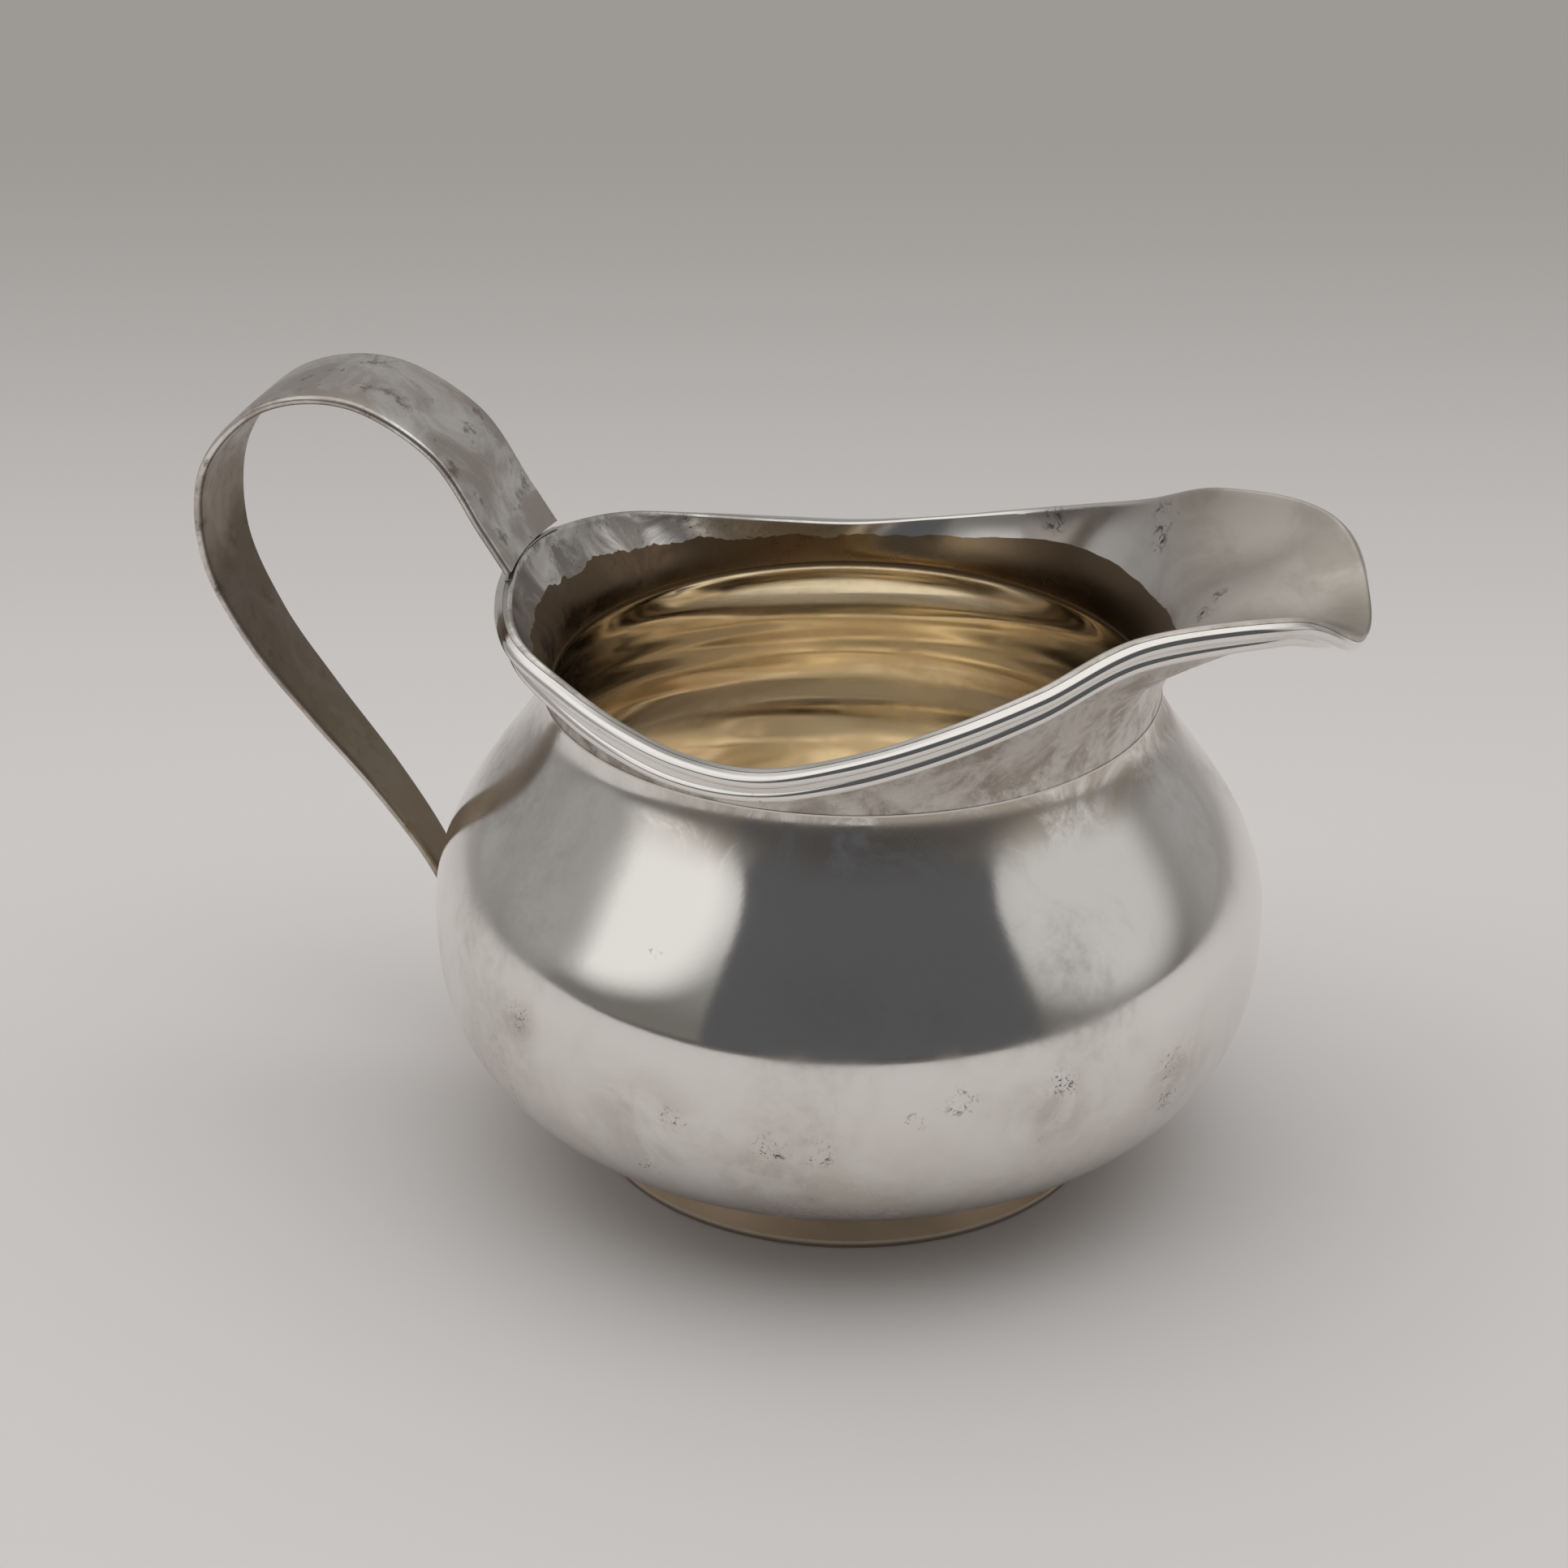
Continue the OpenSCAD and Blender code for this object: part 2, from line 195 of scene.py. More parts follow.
# Meshes
def make(name, rings, node, loop=False, ends=False, attributes=None):
    """Closed smooth skin through rings of points in millimetres, in place of a node of the model.

    loop joins the last ring to the first, and ends puts a flat face on each end of an open row of rings.
    """
    n, m = len(rings), len(rings[0])
    faces = []
    for i in range(n if loop else n - 1):
        for j in range(m):
            k, l = (i + 1) % n, (j + 1) % m
            faces.append((i * m + j, k * m + j, k * m + l, i * m + l))
    if ends:
        faces.append(tuple(range(m)))
        faces.append(tuple((n - 1) * m + j for j in reversed(range(m))))
    mesh = bpy.data.meshes.new(name)
    mesh.from_pydata([tuple(p * MM) for ring in rings for p in ring], [], faces)
    for key, values in (attributes or {}).items():
        layer = mesh.attributes.new(key, "FLOAT", "POINT")
        layer.data.foreach_set("value", [v for row in values for v in row])
    mesh.validate()
    piece = bpy.data.objects.new(name, mesh)
    bpy.context.scene.collection.objects.link(piece)
    bpy.context.view_layer.objects.active = piece
    piece.select_set(True)
    bpy.ops.object.mode_set(mode="EDIT")
    bpy.ops.mesh.select_all(action="SELECT")
    bpy.ops.mesh.normals_make_consistent(inside=False)
    bpy.ops.object.mode_set(mode="OBJECT")
    bpy.ops.object.shade_smooth_by_angle(angle=math.radians(40))
    piece.select_set(False)
    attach(piece, "root")
    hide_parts(node)
    return piece


def revolve(profile, steps):
    """Rings round the axis; the profile is a closed outline of [radius, height] points."""
    return [[turned(p, 360 * k / steps) for p in profile] for k in range(steps)]


def make_bowl():
    """Sheet of the bowl, its flat base included."""
    line = belly_line()
    base = [Vector((r, BASE_H)) for r in (AXIS_R, 8, 16, line[0].x - 0.6)]
    floor = [Vector((r, BASE_H + WALL)) for r in (line[0].x - 1.2, 16, 8, AXIS_R)]
    profile = base + line + list(reversed(inside(line, WALL)[1:])) + floor
    return make("bowl_skin", revolve(profile, BOWL_STEPS), "bowl", loop=True)


def round_noise(angle, reach, height):
    """Noise that closes on itself round the axis."""
    a = math.radians(angle)
    return noise.noise(Vector((reach * math.cos(a), reach * math.sin(a), height)))


def make_lining():
    """Gilt inside of the bowl, with the faint rings and ripples left by turning and planishing."""
    line = inside(belly_line(), WALL)
    face = inside(line, GILT_T)
    floor = BASE_H + WALL
    rings = []
    for k in range(BOWL_STEPS):
        angle = 360 * k / BOWL_STEPS
        back = [turned(p, angle) for p in line]
        front = []
        for i, p in enumerate(face):
            ripple = round_noise(angle, 1.1, p.y * 0.2)
            ring = round_noise(angle, 0.3, p.y * 0.42 + 7)
            calm = min(1, (len(line) - 1 - i) / RIPPLE_FADE)
            shift = RIPPLE_DEPTH * calm * (0.6 + 0.9 * ripple + ring)
            front.append(turned(Vector((p.x - max(-RIPPLE_BACK, shift), p.y)), angle))
        middle = [turned(Vector((AXIS_R, z)), angle) for z in (floor + GILT_T, floor)]
        rings.append(back + list(reversed(front)) + middle)
    return make("gilt_skin", rings, "gilt_lining", loop=True)


def make_lip(cuts=40, edge_cuts=5):
    """The lip's sheet, its inner edge rounded, with what its material needs to know of the gilding."""
    half = WALL / 2
    outer = [1 - (1 - i / cuts) ** 1.4 for i in range(cuts + 1)]
    inner = outer[:-4]
    turns = [math.radians(90 * i / edge_cuts) for i in range(edge_cuts + 1)]
    rings, inner_face, up, gilt_edge = [], [], [], []
    for k in range(LIP_STEPS):
        angle = 360 * k / LIP_STEPS
        posts = lip_posts(angle)
        rings.append([lip_point(angle, t, -half) for t in inner]
                     + [lip_point(angle, 1, -half * math.cos(a), half * (math.sin(a) - 1)) for a in turns]
                     + [lip_point(angle, t, half) for t in reversed(outer)])
        inner_face.append([1.0] * (len(inner) + len(turns)) + [0.0] * len(outer))
        up.append([bez(*posts, t).y - NECK_H for t in inner + [1] * len(turns) + outer[::-1]])
        gilt_edge.append([round_row(GILT_UP, angle)] * len(up[k]))
    return make("lip_skin", rings, "pouring_lip", loop=True,
                attributes={"inner_face": inner_face, "up_the_lip": up, "gilt_edge": gilt_edge})


def shares_below(posts, downs, cuts=80):
    """Shares of the way up the lip that lie the given distances down from its edge."""
    edge = posts[3]
    far = [(edge - bez(*posts, 1 - i / cuts)).length for i in range(cuts + 1)]
    shares = []
    for down in downs:
        i = min(cuts - 1, next((k for k in range(cuts) if far[k + 1] >= down), cuts))
        shares.append(1 - (i + (down - far[i]) / (far[i + 1] - far[i])) / cuts)
    return shares


def moulding_section(cuts=14, seat_cuts=8):
    """Two rounded beads on the outside of the lip: [out from the middle of its sheet, down from its edge]."""
    seat = WALL / 2 + SEAT_GAP
    out, turn = seat + BEAD_R * BEAD_SEAT, 180 - math.degrees(math.acos(BEAD_SEAT))
    r = BEAD_R - BEAD_SKIN
    section = [(seat, BEAD_SKIN)]
    for middle, start, end in ((BEAD_R, EDGE_TURN, -GROOVE_TURN), (MOULDING_H - BEAD_R, GROOVE_TURN, -turn)):
        for j in range(cuts + 1):
            s = math.radians(start + (end - start) * j / cuts)
            section.append((out + r * math.cos(s), middle - r * math.sin(s)))
    top, low = section[0][1], section[-1][1]
    return section + [(seat, low + (top - low) * j / seat_cuts) for j in range(1, seat_cuts)]


def make_wire():
    """The rim's moulding, closed all round the lip."""
    section, rings = moulding_section(), []
    for k in range(LIP_STEPS):
        angle = 360 * k / LIP_STEPS
        shares = shares_below(lip_posts(angle), [down for out, down in section])
        rings.append([lip_point(angle, t, out) for t, (out, down) in zip(shares, section)])
    return make("rim_wire_skin", rings, "rim_wire", loop=True)


def make_foot(cuts=16):
    """The foot: a flat face to rest on, a rounded edge, and a hollow curve up to the bowl's base."""
    top, worn = belly_line()[0].x - FOOT_INSET, FOOT_WORN
    profile = [(FOOT_R - FOOT_FACE_W, 0), (FOOT_R - worn, 0), (FOOT_R - 0.28 * worn, 0.32 * worn),
               (FOOT_R, worn), (FOOT_R, FOOT_EDGE - 0.4 * worn)]
    for i in range(cuts + 1):
        a = math.radians(90 * i / cuts)
        profile.append((FOOT_R + (top - FOOT_R) * math.sin(a),
                        FOOT_EDGE + (BASE_H - FOOT_EDGE) * (1 - math.cos(a))))
    profile.append((top - FOOT_T, BASE_H))
    rings = revolve([Vector(p) for p in profile], FOOT_STEPS)
    return make("foot_skin", rings, "foot_ring", loop=True)


def handle_line(cuts=16):
    """Middle line of the strap as [distance behind the axis, height], from the lip's edge to its root."""
    edge, d = lip_posts(180)[3], bez_dir(*lip_posts(180), 1)
    off = FILM_T + 2 * SEAT_GAP
    rim = edge + off * d
    root = [Vector((belly_r_at(z), z)) + (off + HANDLE_T / 2) * belly_out_at(z)
            for z in (ROOT_H + ROOT_LEN, ROOT_H + ROOT_LEN / 2, ROOT_H)]
    back, top = HANDLE_REACH - HANDLE_T / 2, HANDLE_TOP - HANDLE_T / 2
    posts = [rim]
    for k, (x, z) in enumerate(HANDLE_LINE):
        base = rim + (root[0] - rim) * (k + 1) / (len(HANDLE_LINE) + 1)
        posts.append(base + Vector((x * (back - base.x), z * (top - base.y))))
    posts += root
    return [along(posts, i / cuts) for i in range((len(posts) - 1) * cuts + 1)]


def strap_section(half, cuts=8):
    """Across and out from the strap's middle line, round at both edges and crowned on its outer face."""
    r = HANDLE_T / 2
    arc = [math.radians(-90 + 180 * i / cuts) for i in range(cuts + 1)]
    right = [(half - r + r * math.cos(a), r * math.sin(a)) for a in arc]
    flat = [half - r - 2 * (half - r) * i / cuts for i in range(1, cuts)]
    top = [(y, r) for y in flat]
    left = [(-x, -y) for x, y in right]
    crown = [(-y, -r * (1 + CROWN * (1 - (y / (half - r)) ** 2))) for y in flat]
    return right + top + left + crown


def make_handle():
    """The tapering strap, its upper end hollowed to the round of the lip's edge."""
    line = handle_line()
    last = len(line) - 1
    bow_r = lip_posts(180)[3].x
    rings, share, side = [], [], []
    for i, p in enumerate(line):
        s = i / last
        x = s ** TAPER_POWER
        half = (HANDLE_W + (ROOT_W - HANDLE_W) * x * x * (3 - 2 * x)) / 2
        d = (line[min(last, i + 1)] - line[max(0, i - 1)]).normalized()
        round_left = max(0, 1 - s / HOLLOW)
        ring = []
        for across, out in strap_section(half):
            at = p + out * outward(d)
            bow = bow_r - math.sqrt(bow_r * bow_r - across * across)
            ring.append(Vector((round_left * bow - at.x, across, at.y)))
        rings.append(ring)
        share.append([s] * len(ring))
        side.append([q[1] / HANDLE_T for q in strap_section(half)])
    return make("handle_skin", rings, "handle", ends=True,
                attributes={"down_the_strap": share, "jug_side": side})


# Materials
class Nodes:
    """Short way to write a node tree."""

    def __init__(self, name="", tree=None):
        self.tree = tree
        if tree is None:
            self.material = bpy.data.materials.new(name)
            self.material.use_nodes = True
            self.tree = self.material.node_tree
            self.shader = self.tree.nodes["Principled BSDF"]

    def add(self, kind, inputs=None, **settings):
        node = self.tree.nodes.new(kind)
        for key, value in settings.items():
            setattr(node, key, value)
        for key, value in (inputs or {}).items():
            self.put(node.inputs[key], value)
        return node

    def put(self, socket, value):
        if isinstance(value, bpy.types.NodeSocket):
            self.tree.links.new(value, socket)
        else:
            socket.default_value = value

    def math(self, operation, a, b=0.0, clamp=False):
        return self.add("ShaderNodeMath", {0: a, 1: b}, operation=operation, use_clamp=clamp).outputs[0]

    def times(self, *values):
        total = values[0]
        for value in values[1:]:
            total = self.math("MULTIPLY", total, value)
        return total

    def most(self, *values):
        total = values[0]
        for value in values[1:]:
            total = self.math("MAXIMUM", total, value)
        return total

    def noise(self, where, scale, detail=4, rough=0.55, distort=0.0):
        inputs = {"Vector": where, "Scale": scale, "Detail": detail, "Roughness": rough,
                  "Distortion": distort}
        return self.add("ShaderNodeTexNoise", inputs).outputs["Fac"]

    def ramp(self, value, low, high, start=0.0, end=1.0):
        inputs = {"Value": value, "From Min": low, "From Max": high, "To Min": start, "To Max": end}
        return self.add("ShaderNodeMapRange", inputs, interpolation_type="SMOOTHSTEP").outputs[0]

    def band(self, value, low, high, soft):
        """1 between two values, falling to 0 over a soft width outside them."""
        return self.times(self.ramp(value, low - soft, low), self.ramp(value, high + soft, high))

    def mix(self, share, a, b):
        node = self.add("ShaderNodeMix", data_type="RGBA")
        self.put(node.inputs["Factor"], share)
        for socket, value in ((node.inputs[6], a), (node.inputs[7], b)):
            self.put(socket, (*value, 1) if isinstance(value, tuple) else value)
        return node.outputs[2]

    def place(self):
        return self.add("ShaderNodeTexCoord").outputs["Object"]

    def stretched(self, where, x, y, z):
        inputs = {0: where, 1: (x, y, z)}
        return self.add("ShaderNodeVectorMath", inputs, operation="MULTIPLY").outputs["Vector"]

    def dot(self, a, b):
        return self.add("ShaderNodeVectorMath", {0: a, 1: tuple(b)}, operation="DOT_PRODUCT").outputs["Value"]

    def axes(self, where):
        return self.add("ShaderNodeSeparateXYZ", {0: where}).outputs

    def length(self, x, y):
        return self.math("POWER", self.math("ADD", self.times(x, x), self.times(y, y)), 0.5)

    def spots(self, where, places):
        """Highest share of a few soft round spots, each given as (x, y, z, radius) in millimetres."""
        shares = []
        for x, y, z, radius in places:
            inputs = {0: where, 1: (x * MM, y * MM, z * MM)}
            far = self.add("ShaderNodeVectorMath", inputs, operation="DISTANCE").outputs["Value"]
            shares.append(self.ramp(far, radius * MM, radius * MM * 0.15))
        return self.most(*shares)

    def attribute(self, name):
        return self.add("ShaderNodeAttribute", attribute_name=name).outputs["Fac"]


SILVER, TARNISH, PIT = (0.86, 0.84, 0.81), (0.36, 0.31, 0.26), (0.07, 0.06, 0.05)


class Metal(Nodes):
    """A metal with a veil of tarnish. Stains and pits are laid over it, and done() or close() finishes it."""

    def __init__(self, name, clean=SILVER, dark=TARNISH, tarnish=0.3, rough=0.08):
        super().__init__(name)
        self.shader.inputs["Metallic"].default_value = 1
        self.where = self.place()
        self.x, self.y, self.z = self.axes(self.where)
        self.cloud = self.noise(self.where, 60, 6, 0.62, 0.4)
        self.fine = self.noise(self.where, 700, 4, 0.65)
        veil = self.times(self.ramp(self.cloud, 0.45, 0.75), self.ramp(self.fine, 0.3, 0.7, 0.4, 1), tarnish)
        self.colour = self.mix(veil, clean, dark)
        uneven = self.ramp(self.cloud, 0.35, 0.7, rough, rough + 0.05)
        self.rough = self.math("ADD", self.times(veil, 0.4), uneven)

    def stain(self, share, colour, rough=0.0):
        self.colour = self.mix(share, self.colour, colour)
        if rough:
            self.rough = self.math("ADD", self.rough, self.times(share, rough))

    def pits(self, share, scale=900, low=0.6, colour=PIT):
        """Tiny dark pits where the share is high."""
        dots = self.ramp(self.noise(self.where, scale, 5, 0.7, 1.2), low, low + 0.06)
        clumps = self.ramp(self.noise(self.where, scale / 3, 3, 0.6, 0.8), 0.42, 0.55)
        self.stain(self.times(dots, clumps, share), colour, 0.3)

    def done(self, dents=0.00025, swell=38, grain=0.000003):
        """Soft dents, metres deep and so many to the metre, under a fine grain."""
        swells = self.noise(self.where, swell, 2, 0.4)
        dented = self.add("ShaderNodeBump", {"Height": swells, "Distance": dents}).outputs[0]
        inputs = {"Height": self.fine, "Distance": grain, "Normal": dented}
        return self.close(self.add("ShaderNodeBump", inputs))

    def close(self, bump):
        self.put(self.shader.inputs["Normal"], bump.outputs[0])
        self.put(self.shader.inputs["Base Color"], self.colour)
        self.put(self.shader.inputs["Roughness"], self.rough)
        return self.material


# Stains and groups of pits on the belly and neck: x, y, z and radius in millimetres
BELLY_PITS = [(20.3, -34.5, 24.2, 2.2), (16.6, -36.4, 22.6, 1.4), (28.3, -28.3, 24.2, 2.4),
              (35.8, -17.5, 21.3, 2.4), (35.7, -16.3, 17.5, 2.6), (3.8, -39.4, 19, 2.6),
              (8.2, -38.7, 19, 2.2), (-8.5, -36.7, 13.5, 2), (-5.2, -39.5, 20.7, 2),
              (-22.1, -33.4, 25.5, 2.2), (-8.2, -35.6, 35.5, 1)]
BELLY_STAINS = [(26.9, -29.4, 21.3, 6), (36, -16, 19.5, 7), (-22, -33, 25, 4), (-8, -38, 19, 9),
                (4, -38, 13, 9), (-30, 24, 26, 12), (10, 36, 20, 14)]


def bowl_metal():
    """Mirror-bright silver, satin and stained towards the foot, with a dull band under the neck seam."""
    n = Metal("bowl_silver", tarnish=0.42, rough=0.08)
    low = n.ramp(n.z, 0.027, 0.012)
    mottle = n.ramp(n.noise(n.where, 150, 6, 0.65, 0.5), 0.35, 0.65)
    n.stain(n.times(low, mottle, 0.55), (0.7, 0.645, 0.57), 0.25)
    warm = n.noise(n.where, 110, 6, 0.68, 0.8)
    neck = n.times(n.ramp(n.z, 0.0415, 0.0455), n.ramp(warm, 0.36, 0.58), n.ramp(n.x, -0.02, 0.0))
    n.stain(n.times(neck, 0.8), (0.44, 0.38, 0.31), 0.25)
    n.stain(n.times(n.spots(n.where, BELLY_STAINS), n.ramp(warm, 0.38, 0.6), 0.5), (0.5, 0.45, 0.42), 0.25)
    n.pits(n.spots(n.where, BELLY_PITS), 1700, 0.54)
    n.pits(n.times(low, 0.4), 1600, 0.66)
    return n.done()


# Dark marks on the inner face of the lip: x, y, z and radius in millimetres
LIP_MARKS = [(25, 21, 59.1, 2.2), (26.1, 20.4, 60.2, 1.8), (25.2, 19.7, 57.3, 1.6), (12.9, 27.6, 55, 2),
             (33.6, 5.9, 58.5, 1.5), (32.9, 4, 57.4, 1.5)]
# Painted shade where the spout's tip turns down: a dark patch in place of the darker reflection there
SPOUT_TIP_SHADE = [(47.6, 2.5, 60.3, 5.5), (46, -2.5, 60.3, 4)]


def lip_metal():
    """Satin silver inside the spout, stained outside and towards the handle, and gilt above the neck."""
    n = Metal("lip_silver", tarnish=0.4, rough=0.13)
    inner = n.attribute("inner_face")
    patch = n.noise(n.where, 150, 6, 0.68, 0.7)
    n.stain(n.times(n.ramp(n.x, 0.0, -0.028), n.ramp(patch, 0.38, 0.58), 0.85), (0.3, 0.27, 0.24), 0.3)
    spout = n.ramp(n.x, 0.018, 0.03)
    n.stain(n.times(spout, inner), (0.62, 0.575, 0.53), 0.28)
    n.stain(n.times(spout, inner, n.ramp(patch, 0.4, 0.65), 0.5), (0.46, 0.42, 0.37), 0.1)
    outer = n.math("SUBTRACT", 1, inner)
    n.stain(n.times(outer, 0.75), (0.54, 0.5, 0.46), 0.18)
    grit = n.noise(n.where, 420, 6, 0.7, 0.4)
    n.stain(n.times(outer, n.ramp(patch, 0.34, 0.6), n.ramp(grit, 0.35, 0.6), 0.85), (0.4, 0.35, 0.3), 0.3)
    # Painted shade at the spout's tip, standing in for its darker reflection
    n.stain(n.times(n.spots(n.where, SPOUT_TIP_SHADE), 0.6), (0.25, 0.22, 0.18), 0.1)
    n.pits(n.times(inner, n.ramp(n.x, -0.008, -0.02), 0.85), 900, 0.6)
    n.pits(n.spots(n.where, LIP_MARKS), 800, 0.5)
    gilt = gilt_share(n, inner)
    n.stain(gilt, (0.5, 0.36, 0.21))
    brown = n.most(n.ramp(n.x, 0.002, -0.024), n.ramp(n.x, -0.002, 0.012))
    n.stain(n.times(gilt, brown, 0.9), (0.14, 0.1, 0.07), 0.15)
    return n.done(0.0003, 45)


def gilt_share(n, inner):
    """1 on the gilt lower part of the lip's inner face, with a ragged edge."""
    ragged = n.ramp(n.noise(n.where, 260, 3), 0.3, 0.7, -0.45, 0.45)
    edge = n.math("SUBTRACT", n.attribute("gilt_edge"), n.times(ragged, n.ramp(n.x, 0.01, -0.02, 0.15, 1)))
    return n.times(inner, n.ramp(n.math("SUBTRACT", edge, n.attribute("up_the_lip")), -0.05, 0.05))


def wire_metal():
    """Bright rubbed silver with scattered pits."""
    n = Metal("wire_silver", tarnish=0.3, rough=0.08)
    n.pits(0.8, 600, 0.66)
    return n.done(0.0001, 60)


def handle_metal():
    """Blotched silver, brown on the strap's inner side and towards its root."""
    n = Metal("handle_metal", tarnish=0.5, rough=0.2)
    side, down = n.attribute("jug_side"), n.attribute("down_the_strap")
    blotch = n.noise(n.where, 120, 6, 0.65, 0.8)
    n.stain(n.times(n.ramp(blotch, 0.34, 0.6), 0.75), (0.4, 0.34, 0.29), 0.15)
    n.stain(n.times(n.ramp(n.noise(n.where, 330, 5, 0.7), 0.55, 0.68), 0.75), (0.16, 0.13, 0.11), 0.15)
    n.stain(n.times(n.ramp(side, 0.1, 0.45), 0.9), (0.19, 0.145, 0.105), 0.1)
    n.stain(n.times(n.ramp(down, 0.5, 0.9), 0.7), (0.42, 0.33, 0.22), 0.05)
    return n.done(0.00012, 60)


def foot_metal():
    """Warm dull silver, with painted shade darkest where it meets the table."""
    n = Metal("foot_metal", (0.95, 0.83, 0.69), (0.45, 0.35, 0.26), tarnish=0.6, rough=0.42)
    n.shader.inputs["Metallic"].default_value = 0.7
    # Painted shade: the lowest edge darkened where the foot meets the table, in place of the contact shadow
    n.stain(n.ramp(n.z, 0.0006, 0.0003, 0, 0.7), (0.16, 0.12, 0.09))
    return n.done(0.0001)


def solder_metal():
    """Silver solder, gilt where the neck seam shows inside."""
    n = Metal("solder_metal", (0.7, 0.67, 0.62), tarnish=0.4, rough=0.2)
    n.stain(n.ramp(n.length(n.x, n.y), 0.029, 0.0288), (0.3, 0.22, 0.13), 0.2)
    return n.done(0.00005)


def gilt_metal():
    """Polished gold, browned towards the handle, with a painted highlight on the bowl's floor and ripples
    that run round the bowl.
    """
    n = Metal("gilt_metal", (0.95, 0.865, 0.71), (0.42, 0.31, 0.22), tarnish=0.5, rough=0.06)
    n.stain(n.times(n.ramp(n.x, -0.01, -0.036), 0.6), (0.3, 0.2, 0.14), 0.05)
    # Painted highlight: the bowl's floor is made pale and satin in clouds, most of all at the back, in place
    # of a bright reflection there
    from_painted_highlight = n.length(n.math("ADD", n.x, 0.005), n.math("ADD", n.y, -0.0215))
    floor = n.ramp(n.z, 0.0095, 0.0075)
    pale = n.times(floor, n.ramp(from_painted_highlight, 0.014, 0.002), n.ramp(n.cloud, 0.35, 0.6, 0.3, 1))
    n.stain(n.times(pale, 0.8), (1.0, 0.93, 0.78), 0.25)
    # Less metal in the painted highlight, so that the lamp lights it
    n.put(n.shader.inputs["Metallic"], n.ramp(pale, 0, 1, 1, 0.55))
    # The gilding ends in a dark line at the neck seam
    n.stain(n.ramp(n.z, 0.0472, 0.0476, 0, 0.9), (0.12, 0.085, 0.055), 0.3)
    ripple = n.noise(n.stretched(n.where, 16, 16, 80), 1, 2, 0.4, 0.5)
    return n.close(n.add("ShaderNodeBump", {"Height": ripple, "Distance": 0.0006}))


# Studio
CAM_FRONT = Vector((math.sin(math.radians(CAM_AZIMUTH)), -math.cos(math.radians(CAM_AZIMUTH)), 0))
CAM_RIGHT = Vector((-CAM_FRONT.y, CAM_FRONT.x, 0))
ROOM_LOW, ROOM_HIGH, ROOM_BACK = (0.17, 0.165, 0.15), (0.36, 0.355, 0.35), (0.34, 0.335, 0.33)
# The darkest part of the room: from and to, in degrees to the right of the camera
DARK_FROM, DARK_TO, ROOM_DARK = -38, 51, (0.095, 0.096, 0.101)
# Soft windows: degrees to the right of the camera, height, half width, softness, level
WINDOWS = [(-78, 38, 20, 14, 0.85), (-98, 18, 10, 12, 0.35), (82, 30, 16, 18, 0.58), (0, 90, 30, 26, 0.95)]
TABLE_EDGE, TABLE_DARK = 0.38, (0.1, 0.095, 0.09)
# The table's colour near the jug; at the back, darker as painted shade where the light falls off; and its
# half size
FLOOR, FLOOR_FAR_SHADE, FLOOR_HALF = (0.675, 0.652, 0.643), (0.365, 0.351, 0.34), 3
# The lamp overhead: size, power, distance, and degrees to the right of the camera and up
LAMP_SIZE, LAMP_POWER, LAMP_DISTANCE, LAMP_RIGHT, LAMP_UP = 2.4, 9, 1.15, 165, 80


def toward(right_of_camera, height):
    """Direction from the jug, from degrees to the right of the camera and degrees above the table."""
    a, e = math.radians(right_of_camera), math.radians(height)
    return (CAM_FRONT * math.cos(a) + CAM_RIGHT * math.sin(a)) * math.cos(e) + Vector((0, 0, math.sin(e)))


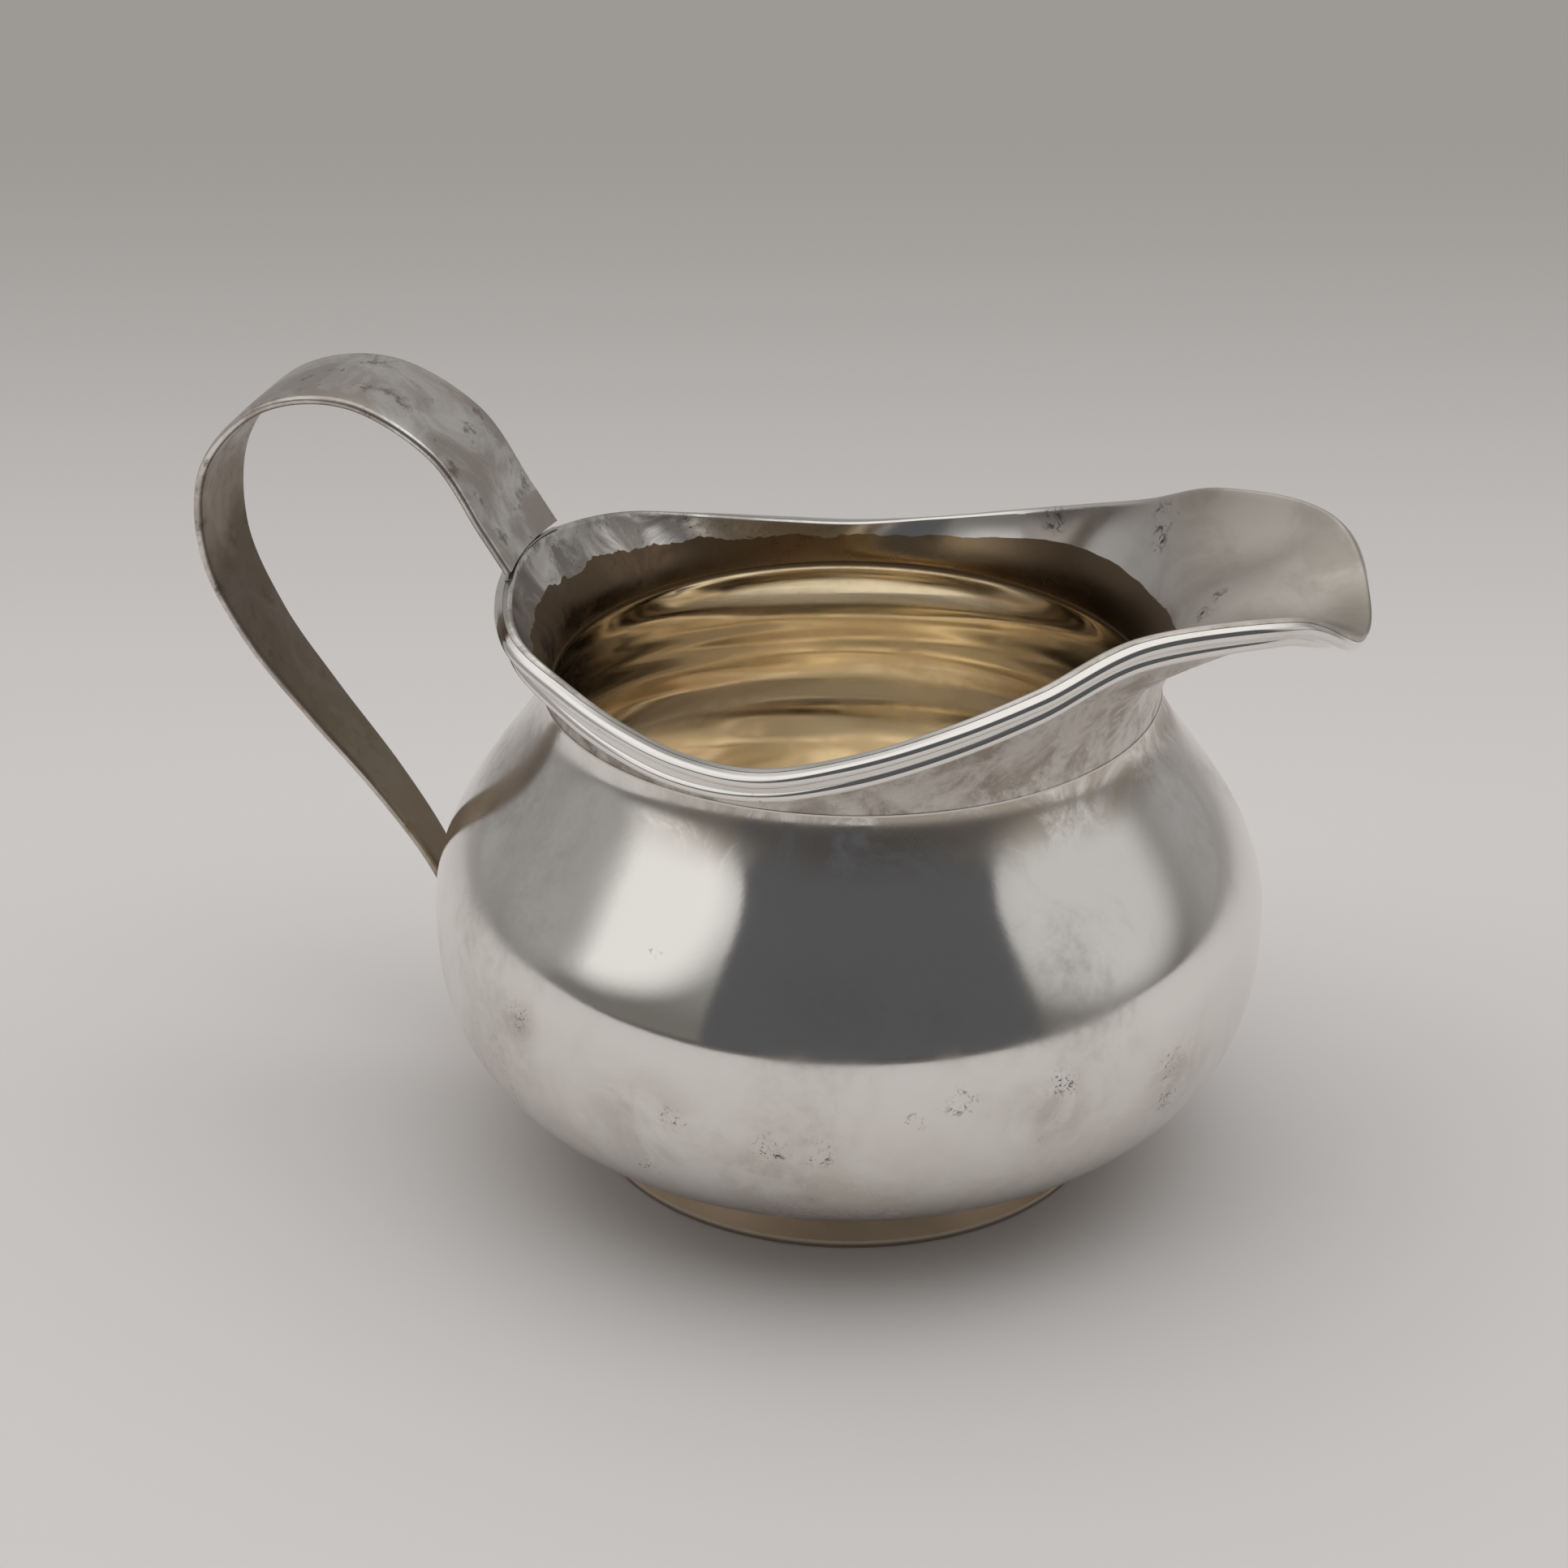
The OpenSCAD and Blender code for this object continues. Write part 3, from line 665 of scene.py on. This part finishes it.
def room():
    """Surroundings that light the jug and show in the silver: a grey room with soft windows."""
    world = bpy.data.worlds.new("room")
    bpy.context.scene.world = world
    world.use_nodes = True
    n = Nodes(tree=world.node_tree)
    way = n.add("ShaderNodeTexCoord").outputs["Generated"]
    height = n.axes(way)[2]
    right, front = n.dot(way, CAM_RIGHT), n.dot(way, CAM_FRONT)
    round_to = n.math("MULTIPLY", n.math("ARCTAN2", right, front), 180 / math.pi)
    colour = n.mix(n.ramp(height, 0.1, 0.8), ROOM_LOW, ROOM_HIGH)
    colour = n.mix(n.ramp(front, -0.1, -0.6), colour, ROOM_BACK)
    for to_right, up, half, soft, level in WINDOWS:
        outer, inner = (math.cos(math.radians(angle)) for angle in (half + soft, half))
        share = n.ramp(n.dot(way, toward(to_right, up)), outer, inner)
        colour = n.mix(share, colour, (level, level * 0.985, level * 0.96))
    dark = n.times(n.band(round_to, DARK_FROM, DARK_TO, 3), n.ramp(height, 0.9, 0.75))
    colour = n.mix(dark, colour, ROOM_DARK)
    n.put(world.node_tree.nodes["Background"].inputs["Color"], colour)


def floor():
    """A pale table with painted shade darkening it towards the back, where the light falls off. As mirrored
    in the silver, it ends below the camera.
    """
    n = Nodes("floor")
    n.shader.inputs["Roughness"].default_value = 0.75
    n.shader.inputs["Specular IOR Level"].default_value = 0.2
    where = n.place()
    front = n.dot(where, CAM_FRONT)
    # Painted shade: the table darkens towards the back
    colour = n.mix(n.ramp(front, -0.03, -0.33), FLOOR, FLOOR_FAR_SHADE)
    mirrored = n.add("ShaderNodeLightPath").outputs["Is Glossy Ray"]
    past_edge = n.times(mirrored, n.ramp(front, TABLE_EDGE, TABLE_EDGE + 0.01))
    n.put(n.shader.inputs["Base Color"], n.mix(past_edge, colour, TABLE_DARK))
    mesh = bpy.data.meshes.new("floor")
    corners = [(x * FLOOR_HALF, y * FLOOR_HALF, 0) for x, y in ((-1, -1), (1, -1), (1, 1), (-1, 1))]
    mesh.from_pydata(corners, [], [(0, 1, 2, 3)])
    mesh.materials.append(n.material)
    piece = bpy.data.objects.new("floor", mesh)
    bpy.context.scene.collection.objects.link(piece)


def lamp():
    """A broad soft lamp overhead that isn't mirrored in the metal."""
    light = bpy.data.lights.new("overhead", "AREA")
    light.size, light.energy = LAMP_SIZE, LAMP_POWER
    piece = bpy.data.objects.new("overhead", light)
    bpy.context.scene.collection.objects.link(piece)
    piece.location = LAMP_DISTANCE * toward(LAMP_RIGHT, LAMP_UP)
    piece.rotation_euler = (Vector((0, 0, 0.03)) - piece.location).to_track_quat("-Z", "Y").to_euler()
    piece.visible_camera = False
    piece.visible_glossy = False


def paint(piece, material):
    piece.data.materials.clear()
    piece.data.materials.append(material)


place_camera()
bpy.context.scene.view_settings.view_transform = "Standard"
room()
floor()
lamp()
paint(make_bowl(), bowl_metal())
paint(make_lining(), gilt_metal())
paint(make_lip(), lip_metal())
paint(make_wire(), wire_metal())
paint(make_foot(), foot_metal())
paint(make_handle(), handle_metal())
solder = solder_metal()
for node in ("neck_solder", "foot_solder", "handle_top_solder", "handle_root_solder"):
    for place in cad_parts[node].material_slots:
        place.material = solder
